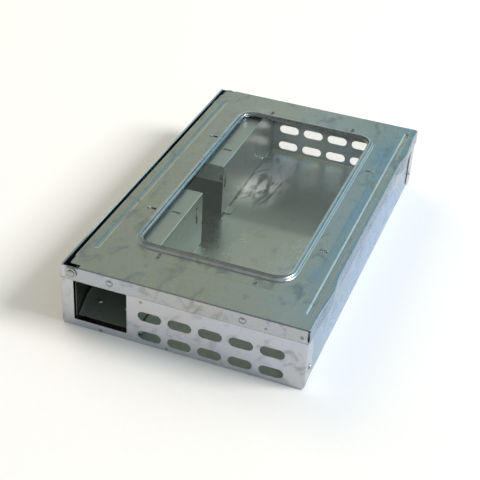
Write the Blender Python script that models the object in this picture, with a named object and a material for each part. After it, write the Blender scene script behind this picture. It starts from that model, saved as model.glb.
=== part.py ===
"""Low-profile multiple-catch mouse trap in folded galvanised sheet, with a window in its hinged lid.

X runs across the trap from the hinge side to the chamber side, Y from the front end to the rear end,
Z up. The world origin is the centre of the footprint, on the surface that the trap stands on. The
functions work in box coordinates: X from the outer face of the left wall, Y from the outer face of the
lid's front flange, Z from the underside of the floor.
"""

import math

import bmesh
import bpy
from mathutils import Matrix, Vector
from mathutils.geometry import delaunay_2d_cdt

MM = 0.001

# Driving dimensions
LENGTH = 266.7 * MM  # outside the lid's end flanges
BASE_WIDTH = 158.0 * MM  # outside the long walls of the base
LID_TOP = 44.9 * MM
SHEET = 0.5 * MM
GAP = 0.3 * MM  # air between sheets that lie on each other
BEND = 0.8 * MM  # outer radius of the folds
LAYER = SHEET + GAP
MIDDLE = LENGTH / 2

# Base
BASE_FRONT = 2 * LAYER  # behind the lid's flange and the end panel
WALL_TOP = 43.9 * MM
HEM_RADIUS = 0.65 * MM
HEM_DEPTH = 2.8 * MM
FLOOR_LIP = 2.4 * MM
FLOOR_RELIEF, FOLD_START = 1.5 * MM, 2.5 * MM  # from the outside of a long wall

# End panels
PANEL_FACE = LAYER
PANEL_BOTTOM = 0.2 * MM
PANEL_TOP = 44.0 * MM
TAB_LENGTH = 13.0 * MM
TAB_LOW, TAB_HIGH = 1.5 * MM, 36.0 * MM
TAB_FOOT_RISE, TAB_SHOULDER_LENGTH, TAB_SHOULDER_DROP = 2.0 * MM, 5.0 * MM, 9.0 * MM
ENTRANCE_LEFT, ENTRANCE_RIGHT = 7.8 * MM, 43.7 * MM
ENTRANCE_SILL, ENTRANCE_HEAD = 4.9 * MM, 34.2 * MM
SLOT_WIDTH, SLOT_HEIGHT = 15.6 * MM, 6.8 * MM
SLOT_FIRST, SLOT_PITCH, SLOTS_PER_ROW = 58.9 * MM, 19.7 * MM, 5
SLOT_ROWS = (6.9 * MM, 21.4 * MM)

# Tunnels
TUNNEL_LEFT, TUNNEL_RIGHT = 8.0 * MM, 45.3 * MM
TUNNEL_ROOF = 42.1 * MM
TUNNEL_INSET = 3.0 * MM  # from the lid's end face
FRONT_TUNNEL_END, REAR_TUNNEL_END = 117.0 * MM, 110.9 * MM  # each from its own end face
FOOT_LENGTH, FOOT_WIDTH, FOOT_FROM_END = 9.0 * MM, 5.0 * MM, 5.0 * MM
STOP_FROM_RAMP_END = 2.0 * MM
STOP_SLOT_WIDTH, STOP_SLOT_LOW, STOP_SLOT_HIGH = 3.0 * MM, 23.0 * MM, 36.0 * MM
STOP_TAB_HEIGHT, STOP_TAB_DEPTH = 4.5 * MM, 3.0 * MM
ROOF_LANCE_FROM_END, ROOF_LANCE_FROM_RIGHT = 86.0 * MM, 10.0 * MM
ROOF_LANCE_LENGTH, ROOF_LANCE_WIDTH = 6.5 * MM, 1.7 * MM

# Ramps and their pivots
PIVOT_FROM_END, PIVOT_HEIGHT = 46.4 * MM, 18.2 * MM
RAMP_LEFT, RAMP_RIGHT = 9.6 * MM, 43.9 * MM
RAMP_ENTRANCE_ARM, RAMP_INNER_ARM = 44.0 * MM, 64.0 * MM
RAMP_SLOPE = math.radians(11.5)
PIVOT_OVER_PLATE = 2.7 * MM
RAMP_FLANGE = 6.2 * MM
RAMP_FLANGE_RISE = 13.0 * MM
RAMP_FLANGE_SHOULDER = 9.6 * MM  # past the pivot
RAMP_FLANGE_LOW, RAMP_FLANGE_FALL = 2.0 * MM, 7.0 * MM
RAMP_PLAIN_END = 5.0 * MM  # without flanges, under the stop
AXLE_RADIUS = 1.2 * MM
AXLE_LEFT, AXLE_RIGHT = 6.3 * MM, 53.3 * MM
RUNNING = 0.35 * MM  # air round a pin
CLIP_RADIUS, CLIP_THICKNESS = 2.5 * MM, 0.8 * MM
WEIGHT_ARM, WEIGHT_LENGTH, WEIGHT_WIDTH, WEIGHT_THICKNESS = 29.5 * MM, 8.0 * MM, 30.0 * MM, 4.5 * MM
WEIGHT_RIVET_SPACING = 18.3 * MM

# Lid
LID_LEFT = 3.4 * MM
LID_RIGHT = BASE_WIDTH + LAYER + LAYER
LID_BEND = 1.0 * MM
FLANGE_DEPTH = 9.5 * MM
LEFT_FLANGE_DEPTH = 2.3 * MM
NOTCH_LENGTH, NOTCH_X, NOTCH_Y = 12.0 * MM, 4.8 * MM, 3.5 * MM
EAR_LEFT = 2.8 * MM
BULGE, BULGE_FROM_END, BULGE_OUTER, BULGE_INNER = 1.5 * MM, 43.0 * MM, 32.0 * MM, 16.0 * MM
HINGE_X, HINGE_Z = 7.0 * MM, 40.2 * MM
NOTCH_RADIUS = 1.5 * MM
EDGE_RELIEF = 0.6 * MM  # between an end flange and the right flange
FLANGE_CORNER, FLANGE_CORNER_RISE, EAR_CORNER = 4.0 * MM, 3.0 * MM, 1.0 * MM
WINDOW = (31.5 * MM, 131.9 * MM, 40.5 * MM, 234.5 * MM)  # left, right, front, rear of the lip's inner wall
WINDOW_CORNER = 10.0 * MM
POCKET = (19.7 * MM, 146.7 * MM, 27.4 * MM, 246.5 * MM)  # left, right, front, rear of the raised field
POCKET_CORNER, POCKET_STEP, POCKET_RAMP = 22.0 * MM, 0.2 * MM, 0.6 * MM
PANE_INSET, PANE_THICKNESS, PANE_CORNER = 5.8 * MM, 0.6 * MM, 4.0 * MM
PANE_TOP = LID_TOP - 0.7 * MM
TAB_ROOT, TAB_TIP, TAB_SLOT_END = 1.4 * MM, 7.0 * MM, 7.3 * MM  # in from the edge of the raised field
TAB_SLOT_HALF, TAB_HALF, KNUCKLE = 1.0 * MM, 0.7 * MM, 0.8 * MM
PANE_TABS_Y = (80.6 * MM, 189.4 * MM)
PANE_TABS_X = (50.9 * MM, 114.6 * MM)
BEAD_HALF = 2.2 * MM
BEADS = (  # x, front, rear, depth
    (11.4 * MM, 24.0 * MM, 248.0 * MM, 0.4 * MM),
    (153.4 * MM, 14.0 * MM, 257.2 * MM, 0.95 * MM),
)
DIMPLE_RADIUS, DIMPLE_HEIGHT = 2.4 * MM, 0.9 * MM
DIMPLES = ((32.8 * MM, 40.0 * MM), (118.3 * MM, 39.6 * MM))

# Rivets
HINGE_SHANK, HINGE_HEAD, HINGE_TAIL = 1.3 * MM, 2.5 * MM, 2.2 * MM
WASHER_RADIUS = 3.8 * MM
HEAD_HEIGHT, TAIL_HEIGHT = 0.8 * MM, 0.8 * MM
SMALL_SHANK, SMALL_HEAD, SMALL_TAIL = 0.9 * MM, 1.8 * MM, 1.6 * MM
CORNER_RIVET_Y, CORNER_RIVET_Z = 9.2 * MM, 12.0 * MM

# World origin in box coordinates: the middle of everything, rivet heads included
LEFTMOST = -LAYER - GAP - HEAD_HEIGHT
ORIGIN = Vector(((LEFTMOST + LID_RIGHT + BULGE) / 2, MIDDLE, 0))

STEEL = (0.55, 0.58, 0.58, 1.0)
BRIGHT_STEEL = (0.62, 0.63, 0.64, 1.0)
CLEAR = (0.85, 0.92, 0.93, 1.0)
ARC_STEPS = 3
BULGE_STEPS = 12
WELD = 0.01 * MM


def material(name, colour, roughness, metallic=1.0, alpha=1.0):
    made = bpy.data.materials.new(name)
    made.use_nodes = True
    shader = made.node_tree.nodes["Principled BSDF"]
    shader.inputs["Base Color"].default_value = colour
    shader.inputs["Roughness"].default_value = roughness
    shader.inputs["Metallic"].default_value = metallic
    shader.inputs["Alpha"].default_value = alpha
    return made


def add_object(name, mesh, finish, pivot):
    """The bmesh, in box coordinates, as an object whose origin is at the pivot."""
    bmesh.ops.translate(mesh, verts=mesh.verts, vec=-Vector(pivot))
    data = bpy.data.meshes.new(name)
    mesh.to_mesh(data)
    mesh.free()
    data.materials.append(material(name, *finish))
    data.shade_smooth()
    data.set_sharp_from_angle(angle=math.radians(35))
    made = bpy.data.objects.new(name, data)
    made.location = Vector(pivot) - ORIGIN
    bpy.context.scene.collection.objects.link(made)
    return made


# Outlines in a plane


def circle(centre, radius, sides=12):
    turns = [2 * math.pi * step / sides for step in range(sides)]
    return [(centre[0] + radius * math.cos(a), centre[1] + radius * math.sin(a)) for a in turns]


def rectangle(left, right, low, high):
    return [(left, low), (right, low), (right, high), (left, high)]


def rounded_rectangle(left, right, low, high, radius, steps):
    """Counter-clockwise, with the same number of points whatever the radius."""
    corners = (
        (right - radius, low + radius, -90),
        (right - radius, high - radius, 0),
        (left + radius, high - radius, 90),
        (left + radius, low + radius, 180),
    )
    points = []
    for x, y, start in corners:
        for step in range(steps + 1):
            angle = math.radians(start + 90 * step / steps)
            points.append((x + radius * math.cos(angle), y + radius * math.sin(angle)))
    return points


def stadium(centre, width, height, steps=5):
    """A slot with round ends, its longer side given by whichever of width and height is larger."""
    half = min(width, height) / 2
    x, y = centre
    return without_repeats(
        rounded_rectangle(x - width / 2, x + width / 2, y - height / 2, y + height / 2, half, steps)
    )


def without_repeats(points):
    kept = []
    for point in points:
        if not kept or math.dist(point, kept[-1]) > WELD:
            kept.append(point)
    if math.dist(kept[0], kept[-1]) <= WELD:
        kept.pop()
    return kept


def inside(point, outline):
    """Whether a ray from the point crosses the outline an odd number of times."""
    x, y = point
    crossings = 0
    for (x1, y1), (x2, y2) in zip(outline, outline[1:] + outline[:1]):
        if (y1 > y) != (y2 > y) and x < x1 + (y - y1) * (x2 - x1) / (y2 - y1):
            crossings += 1
    return crossings % 2 == 1


def triangles(outline, holes):
    """The flat region between an outline and its holes."""
    loops = [outline, *holes]
    points = []
    edges = []
    for loop in loops:
        first = len(points)
        points += [Vector(point) / MM for point in loop]
        edges += [(first + i, first + (i + 1) % len(loop)) for i in range(len(loop))]
    found, _, faces, *_ = delaunay_2d_cdt(points, edges, [], 0, 1e-6)
    kept = []
    for face in faces:
        corners = [tuple(found[index] * MM) for index in face]
        middle = (sum(c[0] for c in corners) / 3, sum(c[1] for c in corners) / 3)
        if inside(middle, outline) and not any(inside(middle, hole) for hole in holes):
            kept.append(corners)
    return kept


# Folded sheet


class Sheet:
    """A folded sheet, gathered as the faces of its outer side and then thickened inwards."""

    def __init__(self):
        self.mesh = bmesh.new()

    def face(self, points):
        self.mesh.faces.new([self.mesh.verts.new(point) for point in points])

    def flat(self, outline, holes, place):
        for corners in triangles(outline, holes):
            self.face([place(u, v) for u, v in corners])

    def strip(self, lines):
        """Quads between each line of points and the next."""
        for line, following in zip(lines, lines[1:]):
            for a, b, c, d in zip(line, line[1:], following[1:], following):
                self.face([a, b, c, d])

    def band(self, loops):
        self.strip([loop + loop[:1] for loop in loops])

    def build(self, name, finish, outer_way, pivot=(0, 0, 0)):
        """outer_way is the direction that the largest face of the outer side looks in."""
        bmesh.ops.remove_doubles(self.mesh, verts=self.mesh.verts, dist=WELD)
        bmesh.ops.recalc_face_normals(self.mesh, faces=self.mesh.faces)
        largest = max(self.mesh.faces, key=lambda face: face.calc_area())
        if largest.normal.dot(Vector(outer_way)) < 0:
            bmesh.ops.reverse_faces(self.mesh, faces=self.mesh.faces)
        made = add_object(name, self.mesh, finish, pivot)
        thicken = made.modifiers.new("Sheet", "SOLIDIFY")
        thicken.thickness = SHEET
        thicken.offset = -1
        thicken.use_even_offset = True
        return made


def fold(centre, radius, start, end, steps=ARC_STEPS):
    """Points of an arc in a plane, angles in degrees."""
    points = []
    for step in range(steps + 1):
        angle = math.radians(start + (end - start) * step / steps)
        points.append((centre[0] + radius * math.cos(angle), centre[1] + radius * math.sin(angle)))
    return points


def from_end(rear, distance):
    """Y at a distance from the front end face, or from the rear one."""
    return LENGTH - distance if rear else distance


# Turned pieces


def turned(profile, place, sides=12):
    """A closed turned solid. profile is (radius, height) from the lower end of the axis to the upper;
    place turns (x, y, height) into a point."""
    mesh = bmesh.new()
    rings = []
    for radius, height in profile:
        if radius == 0:
            rings.append([mesh.verts.new(place(0, 0, height))] * sides)
        else:
            rings.append([mesh.verts.new(place(x, y, height)) for x, y in circle((0, 0), radius, sides)])
    for ring, following in zip(rings, rings[1:]):
        for i in range(sides):
            corners = (ring[i], ring[(i + 1) % sides], following[(i + 1) % sides], following[i])
            mesh.faces.new(list(dict.fromkeys(corners)))
    bmesh.ops.recalc_face_normals(mesh, faces=mesh.faces)
    return mesh


def ring(name, finish, inner, outer, low, high, place):
    """A flat washer between two heights on its axis."""
    mesh = bmesh.new()
    loops = []
    for radius, height in ((inner, low), (outer, low), (outer, high), (inner, high)):
        loops.append([mesh.verts.new(place(x, y, height)) for x, y in circle((0, 0), radius, 20)])
    for loop, following in zip(loops, loops[1:] + loops[:1]):
        for i in range(len(loop)):
            j = (i + 1) % len(loop)
            mesh.faces.new((loop[i], loop[j], following[j], following[i]))
    bmesh.ops.recalc_face_normals(mesh, faces=mesh.faces)
    return add_object(name, mesh, finish, place(0, 0, (low + high) / 2))


def rivet(name, finish, shank, head, tail, grip, place, sides=12):
    """A rivet whose head starts at height 0 and whose tail starts at minus the grip."""
    end = -grip - TAIL_HEIGHT
    profile = [
        (0, end),
        (tail * 0.7, end),
        (tail, -grip - TAIL_HEIGHT / 2),
        (tail, -grip),
        (shank, -grip),
        (shank, 0),
        (head, 0),
        (head * 0.9, HEAD_HEIGHT * 0.45),
        (head * 0.6, HEAD_HEIGHT * 0.85),
        (0, HEAD_HEIGHT),
    ]
    return add_object(name, turned(profile, place, sides), finish, place(0, 0, 0))


# Base and end panels


def end_folds_of_floor(sheet, rear):
    """The low upstand that the end panel is welded to."""
    left, right = FOLD_START, BASE_WIDTH - FOLD_START
    section = fold((BASE_FRONT + BEND, BEND), BEND, -90, -180) + [(BASE_FRONT, FLOOR_LIP)]
    sheet.strip([[(x, from_end(rear, y), z) for x in (left, right)] for y, z in section])


def floor_outline():
    """The flat of the floor, relieved at the corners where its folds meet."""
    near, flat, relief = BASE_FRONT, BASE_FRONT + BEND, BASE_FRONT + BEND + 0.5 * MM
    half = [
        (BEND, near),
        (FLOOR_RELIEF, near),
        (FLOOR_RELIEF, relief),
        (FOLD_START, relief),
        (FOLD_START, flat),
    ]
    front = half + [(BASE_WIDTH - x, y) for x, y in reversed(half)]
    return front + [(x, LENGTH - y) for x, y in reversed(front)]


def base_tray():
    sheet = Sheet()
    ends = (BASE_FRONT, LENGTH - BASE_FRONT)
    holes = [
        circle((from_end(rear, CORNER_RIVET_Y), CORNER_RIVET_Z), SMALL_SHANK + RUNNING)
        for rear in (False, True)
    ]
    hem_turn = WALL_TOP + SHEET - HEM_RADIUS * 0.2
    sheet.flat(floor_outline(), [], lambda x, y: (x, y, 0))
    sheet.flat(rectangle(*ends, BEND, hem_turn), holes, lambda y, z: (0, y, z))
    sheet.flat(rectangle(*ends, BEND, WALL_TOP), holes, lambda y, z: (BASE_WIDTH, y, z))
    hem = fold((HEM_RADIUS, hem_turn), HEM_RADIUS, 180, 0, 6) + [(2 * HEM_RADIUS, hem_turn - HEM_DEPTH)]
    sections = (
        hem,
        fold((BEND, BEND), BEND, -180, -90),
        fold((BASE_WIDTH - BEND, BEND), BEND, -90, 0),
    )
    for section in sections:
        sheet.strip([[(x, y, z) for y in ends] for x, z in section])
    for rear in (False, True):
        end_folds_of_floor(sheet, rear)
    sheet.build("base_tray", (STEEL, 0.3), (0, 0, -1))


def entrance():
    return rounded_rectangle(
        ENTRANCE_LEFT, ENTRANCE_RIGHT, ENTRANCE_SILL, ENTRANCE_HEAD, 0.5 * MM, 2
    )


def vent_slots():
    centres = [(SLOT_FIRST + i * SLOT_PITCH, z) for z in SLOT_ROWS for i in range(SLOTS_PER_ROW)]
    return [stadium(centre, SLOT_WIDTH, SLOT_HEIGHT) for centre in centres]


def panel_tab(sheet, rear, side):
    """The tab that wraps outside a long wall; side is -1 on the left and 1 on the right."""
    corner = 0 if side < 0 else BASE_WIDTH
    face = corner + side * LAYER
    bend_centre = PANEL_FACE + BEND
    section = fold((0, bend_centre), BEND, -90, 0)
    sheet.strip(
        [[(corner + side * x, from_end(rear, y), z) for z in (TAB_LOW, TAB_HIGH)] for x, y in section]
    )
    outline = [
        (bend_centre, TAB_LOW),
        (TAB_LENGTH, TAB_LOW + TAB_FOOT_RISE),
        (TAB_LENGTH, TAB_HIGH - TAB_SHOULDER_DROP),
        (TAB_LENGTH - TAB_SHOULDER_LENGTH, TAB_HIGH),
        (bend_centre, TAB_HIGH),
    ]
    hole = circle((CORNER_RIVET_Y, CORNER_RIVET_Z), SMALL_SHANK + RUNNING)
    sheet.flat(outline, [hole], lambda y, z: (face, from_end(rear, y), z))


def end_panel(name, rear):
    sheet = Sheet()
    outline = [(0, PANEL_BOTTOM), (BASE_WIDTH, PANEL_BOTTOM), (BASE_WIDTH, TAB_LOW)]
    outline += [(BASE_WIDTH, TAB_HIGH), (BASE_WIDTH, PANEL_TOP), (0, PANEL_TOP), (0, TAB_HIGH), (0, TAB_LOW)]
    hinge_hole = circle((HINGE_X, HINGE_Z), HINGE_SHANK + RUNNING)
    holes = [entrance(), hinge_hole, *vent_slots()]
    sheet.flat(outline, holes, lambda x, z: (x, from_end(rear, PANEL_FACE), z))
    for side in (-1, 1):
        panel_tab(sheet, rear, side)
    sheet.build(name, (STEEL, 0.35), (0, 1 if rear else -1, 0))


def corner_rivets():
    """One rivet through each tab and the long wall behind it."""
    for rear in (False, True):
        y = from_end(rear, CORNER_RIVET_Y)
        for side in (-1, 1):
            seat = (-LAYER - GAP) if side < 0 else BASE_WIDTH + LAYER + GAP

            def place(u, v, height, seat=seat, side=side, y=y):
                return (seat + side * height, y + u, CORNER_RIVET_Z + v)

            end_name, side_name = ("rear" if rear else "front"), ("left" if side < 0 else "right")
            grip = 2 * LAYER + GAP
            finish = (BRIGHT_STEEL, 0.3)
            rivet(
                f"corner_rivet_{end_name}_{side_name}",
                finish,
                SMALL_SHANK,
                SMALL_HEAD,
                SMALL_TAIL,
                grip,
                place,
            )


# Tunnels


def tunnel_wall_outline(start, end, feet):
    """The outline of a side wall, whose lower edge carries its feet; feet are (from, to) pairs."""
    low = SHEET + GAP + SHEET + BEND
    edge = low - BEND / 2
    points = [(start, edge)]
    for near, far in feet:
        points += [(near, edge), (near, low), (far, low), (far, edge)]
    points += [(end, edge), (end, TUNNEL_ROOF - BEND), (start, TUNNEL_ROOF - BEND)]
    return points


def tunnel_foot(sheet, rear, near, far, wall, side):
    """A foot turned out from a side wall onto the floor."""
    top = SHEET + GAP + SHEET
    section = fold((wall + side * BEND, top + BEND), BEND, 180 if side > 0 else 0, 270)
    section += [(wall + side * FOOT_WIDTH, top)]
    sheet.strip([[(x, from_end(rear, y), z) for y in (near, far)] for x, z in section])


def stop_tab(sheet, rear, edge, low):
    """The tab lanced in from the slot's inner edge, which the ramp comes up against."""
    section = fold((TUNNEL_RIGHT - BEND, edge), BEND, 0, -90)
    section += [(TUNNEL_RIGHT - BEND - STOP_TAB_DEPTH, edge - BEND)]
    heights = (low, low + STOP_TAB_HEIGHT)
    sheet.strip([[(x, from_end(rear, y), z) for z in heights] for x, y in section])


def ramp_plate_height(distance):
    """Height of the ramp's upper face at rest, at a distance from its end face."""
    foot_of_pivot = PIVOT_HEIGHT - PIVOT_OVER_PLATE / math.cos(RAMP_SLOPE)
    return foot_of_pivot + (distance - PIVOT_FROM_END) * math.tan(RAMP_SLOPE)


def tunnel(name, rear, end):
    """An upside-down channel from its entrance to the gap that the mice leave by."""
    sheet = Sheet()
    start = TUNNEL_INSET
    feet = [
        (start + FOOT_FROM_END, start + FOOT_FROM_END + FOOT_LENGTH),
        (end - FOOT_FROM_END - FOOT_LENGTH, end - FOOT_FROM_END),
    ]
    axle_hole = circle((PIVOT_FROM_END, PIVOT_HEIGHT), AXLE_RADIUS + RUNNING)
    edge = PIVOT_FROM_END + RAMP_INNER_ARM - STOP_FROM_RAMP_END
    tab_low = ramp_plate_height(edge) + GAP + GAP
    slot = [
        (edge - STOP_SLOT_WIDTH, STOP_SLOT_LOW),
        (edge, STOP_SLOT_LOW),
        (edge, tab_low),
        (edge, tab_low + STOP_TAB_HEIGHT),
        (edge, STOP_SLOT_HIGH),
        (edge - STOP_SLOT_WIDTH, STOP_SLOT_HIGH),
    ]
    outline = tunnel_wall_outline(start, end, feet)
    walls = ((TUNNEL_LEFT, -1, [axle_hole]), (TUNNEL_RIGHT, 1, [axle_hole, slot]))
    for wall, side, holes in walls:
        sheet.flat(outline, holes, lambda y, z, x=wall: (x, from_end(rear, y), z))
        for near, far in feet:
            tunnel_foot(sheet, rear, near, far, wall, side)
        bend = fold((wall - side * BEND, TUNNEL_ROOF - BEND), BEND, 0 if side > 0 else 180, 90)
        sheet.strip([[(x, from_end(rear, y), z) for y in (start, end)] for x, z in bend])
    lance_left, lance_near = TUNNEL_RIGHT - ROOF_LANCE_FROM_RIGHT, ROOF_LANCE_FROM_END
    lance = rectangle(
        lance_left, lance_left + ROOF_LANCE_LENGTH, lance_near, lance_near + ROOF_LANCE_WIDTH
    )
    roof = rectangle(TUNNEL_LEFT + BEND, TUNNEL_RIGHT - BEND, start, end)
    sheet.flat(roof, [lance], lambda x, y: (x, from_end(rear, y), TUNNEL_ROOF))
    stop_tab(sheet, rear, edge, tab_low)
    sheet.build(name, (STEEL, 0.3), (0, 0, 1))


# Ramps


def ramp_place(rear):
    """From a ramp's own x, distance along it past the pivot, and height over its plate, to the box."""
    tilt = Matrix.Rotation(RAMP_SLOPE, 3, "X")

    def place(x, along, height):
        point = tilt @ Vector((x, along, height - PIVOT_OVER_PLATE))
        return (point.x, from_end(rear, point.y + PIVOT_FROM_END), point.z + PIVOT_HEIGHT)

    return place


def ramp_flange_outline(low):
    """A side flange: it rises from the entrance edge, carries the pivot and runs down to the inner end."""
    end = RAMP_INNER_ARM - RAMP_PLAIN_END
    return [
        (-RAMP_ENTRANCE_ARM, low),
        (end, low),
        (end - RAMP_FLANGE_FALL, RAMP_FLANGE_LOW),
        (RAMP_FLANGE_SHOULDER, RAMP_FLANGE),
        (-RAMP_ENTRANCE_ARM + RAMP_FLANGE_RISE, RAMP_FLANGE),
    ]


def ramp(name, rear, pivot):
    """A see-saw plate with upturned sides, entrance end down at rest."""
    sheet = Sheet()
    place = ramp_place(rear)
    underside = -SHEET
    low = underside + BEND
    rivet_holes = [
        circle((x, -WEIGHT_ARM), SMALL_SHANK + RUNNING) for x in weight_rivet_places()
    ]
    along = (-RAMP_ENTRANCE_ARM, RAMP_INNER_ARM - RAMP_PLAIN_END, RAMP_INNER_ARM)
    left, right = RAMP_LEFT + BEND, RAMP_RIGHT - BEND
    plate = [(left, y) for y in reversed(along)] + [(right, y) for y in along]
    sheet.flat(plate, rivet_holes, lambda x, y: place(x, y, underside))
    hole = circle((0, PIVOT_OVER_PLATE), AXLE_RADIUS + RUNNING)
    for side, edge in ((-1, RAMP_LEFT), (1, RAMP_RIGHT)):
        sheet.flat(ramp_flange_outline(low), [hole], lambda y, z, x=edge: place(x, y, z))
        bend = fold((edge - side * BEND, low), BEND, 0 if side > 0 else 180, -90 if side > 0 else 270)
        sheet.strip([[place(x, y, z) for y in along] for x, z in bend])
    return sheet.build(name, (STEEL, 0.3), (0, 0, -1), pivot)


def weight_rivet_places():
    middle = (RAMP_LEFT + RAMP_RIGHT) / 2
    return (middle - WEIGHT_RIVET_SPACING / 2, middle + WEIGHT_RIVET_SPACING / 2)


def counterweight(name, rear, pivot):
    """The bar under the entrance end that brings the ramp back."""
    place = ramp_place(rear)
    middle = (RAMP_LEFT + RAMP_RIGHT) / 2
    outline = rectangle(
        middle - WEIGHT_WIDTH / 2,
        middle + WEIGHT_WIDTH / 2,
        -WEIGHT_ARM - WEIGHT_LENGTH / 2,
        -WEIGHT_ARM + WEIGHT_LENGTH / 2,
    )
    holes = [circle((x, -WEIGHT_ARM), SMALL_SHANK + RUNNING) for x in weight_rivet_places()]
    top = -SHEET - GAP
    bottom = top - WEIGHT_THICKNESS
    mesh = bmesh.new()
    for corners in triangles(outline, holes):
        for height in (top, bottom):
            mesh.faces.new([mesh.verts.new(place(x, y, height)) for x, y in corners])
    for loop in [outline, *holes]:
        for (x1, y1), (x2, y2) in zip(loop, loop[1:] + loop[:1]):
            corners = ((x1, y1, bottom), (x2, y2, bottom), (x2, y2, top), (x1, y1, top))
            mesh.faces.new([mesh.verts.new(place(*corner)) for corner in corners])
    bmesh.ops.remove_doubles(mesh, verts=mesh.verts, dist=WELD)
    bmesh.ops.recalc_face_normals(mesh, faces=mesh.faces)
    return add_object(name, mesh, (STEEL, 0.45), pivot)


def ramp_assembly(end_name, rear):
    """The ramp, its counterweight and their rivets, parented to an empty on the pivot."""
    pivot = ((RAMP_LEFT + RAMP_RIGHT) / 2, from_end(rear, PIVOT_FROM_END), PIVOT_HEIGHT)
    hub = bpy.data.objects.new(f"{end_name}_ramp_pivot", None)
    hub.location = Vector(pivot) - ORIGIN
    bpy.context.scene.collection.objects.link(hub)
    pieces = [
        ramp(f"{end_name}_ramp", rear, pivot),
        counterweight(f"{end_name}_counterweight", rear, pivot),
    ]
    tilted = ramp_place(rear)
    for side_name, x in zip(("left", "right"), weight_rivet_places()):

        def place(u, v, height, x=x):
            return tilted(x + u, -WEIGHT_ARM + v, GAP + height)

        name = f"{end_name}_weight_rivet_{side_name}"
        grip = SHEET + WEIGHT_THICKNESS + 3 * GAP
        finish = (BRIGHT_STEEL, 0.3)
        pieces.append(rivet(name, finish, SMALL_SHANK, SMALL_HEAD, SMALL_TAIL, grip, place))
    for piece in pieces:
        piece.parent = hub
        piece.location -= hub.location


def axle(end_name, rear):
    """The pivot rod through both tunnel walls, held by a push-on clip at each side."""
    y = from_end(rear, PIVOT_FROM_END)

    def place(u, v, height):
        return (height, y + u, PIVOT_HEIGHT + v)

    chamfer = AXLE_RADIUS * 0.3
    profile = [
        (0, AXLE_LEFT),
        (AXLE_RADIUS - chamfer, AXLE_LEFT),
        (AXLE_RADIUS, AXLE_LEFT + chamfer),
        (AXLE_RADIUS, AXLE_RIGHT - chamfer),
        (AXLE_RADIUS - chamfer, AXLE_RIGHT),
        (0, AXLE_RIGHT),
    ]
    add_object(f"{end_name}_axle", turned(profile, place), (BRIGHT_STEEL, 0.25), place(0, 0, AXLE_LEFT))
    finish = (BRIGHT_STEEL, 0.35)
    inner = AXLE_RADIUS + GAP
    low = TUNNEL_LEFT - GAP - CLIP_THICKNESS
    ring(f"{end_name}_axle_clip_left", finish, inner, CLIP_RADIUS, low, low + CLIP_THICKNESS, place)
    low = TUNNEL_RIGHT + GAP
    ring(f"{end_name}_axle_clip_right", finish, inner, CLIP_RADIUS, low, low + CLIP_THICKNESS, place)


# Lid


def bulge(y):
    """How far the lid's right edge stands out: one finger grip near each end."""
    distance = min(y, LENGTH - y)
    reach = BULGE_OUTER if distance < BULGE_FROM_END else BULGE_INNER
    offset = min(1, abs(distance - BULGE_FROM_END) / reach)
    return BULGE * (1 + math.cos(math.pi * offset)) / 2


def right_edge_stations():
    """Y places along the right edge, closer together at the finger grips."""
    first, last = LID_BEND + 0.4 * MM, LENGTH - LID_BEND - 0.4 * MM
    near = BULGE_FROM_END - BULGE_OUTER
    far = BULGE_FROM_END + BULGE_INNER
    grip = [near + (far - near) * step / BULGE_STEPS for step in range(BULGE_STEPS + 1)]
    return [first, *grip, *[LENGTH - y for y in reversed(grip)], last]


def lid_corner_right(rear):
    """The small relief between an end flange and the right flange."""
    x, y = LID_RIGHT - LID_BEND, LID_BEND
    slope = EDGE_RELIEF / 3
    return [(x - EDGE_RELIEF, from_end(rear, y)), (x - slope, from_end(rear, y + slope))]


def lid_corner_left(rear):
    """The notch that lets the corner swing past the end panel."""
    centre = (NOTCH_X + NOTCH_RADIUS, NOTCH_Y + NOTCH_RADIUS)
    round_corner = fold(centre, NOTCH_RADIUS, 270, 180)
    points = [(NOTCH_LENGTH, LID_BEND), (NOTCH_LENGTH, NOTCH_Y), *round_corner]
    points += [(NOTCH_X, NOTCH_LENGTH - 0.5 * MM), (LID_LEFT + LID_BEND, NOTCH_LENGTH - 0.5 * MM)]
    points += [(LID_LEFT + LID_BEND, NOTCH_LENGTH)]
    return [(x, from_end(rear, y)) for x, y in points]


def lid_outline():
    """Counter-clockwise round the flat of the lid, inside its folds."""
    right = [(LID_RIGHT - LID_BEND + bulge(y), y) for y in right_edge_stations()]
    return (
        list(reversed(lid_corner_left(False)))
        + lid_corner_right(False)
        + right
        + list(reversed(lid_corner_right(True)))
        + lid_corner_left(True)
    )


def ring_round(edges, corner, offset):
    """A rounded rectangle at a distance outside the one whose edges are left, right, front, rear."""
    left, right, front, rear = edges
    return rounded_rectangle(
        left - offset, right + offset, front - offset, rear + offset, corner + offset, 7
    )


def lip_rings():
    """Offsets from the lip's inner wall and heights over the lid, from its foot in to its low rim."""
    profile = (
        (3.7, POCKET_STEP / MM),
        (3.35, 0.55),
        (3.05, 1.0),
        (2.75, 1.55),
        (2.4, 1.95),
        (2.0, 2.15),
        (1.1, 2.25),
        (0.8, 2.45),
        (0.45, 2.6),
        (0.15, 2.45),
        (0.0, 2.1),
        (0.0, 0.8),
        (-0.3, 0.45),
        (-1.4, 0.15),
    )
    return [(offset * MM, height * MM) for offset, height in profile]


def pane_tab_frames():
    """For each tab: a function from (across, distance in from the raised field's edge) to x and y."""
    left, right, front, rear = POCKET
    frames = []
    for y in PANE_TABS_Y:
        frames.append(lambda u, d, y=y: (left + d, y + u))
        frames.append(lambda u, d, y=y: (right - d, y + u))
    for x in PANE_TABS_X:
        frames.append(lambda u, d, x=x: (x + u, front + d))
        frames.append(lambda u, d, x=x: (x + u, rear - d))
    return frames


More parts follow.
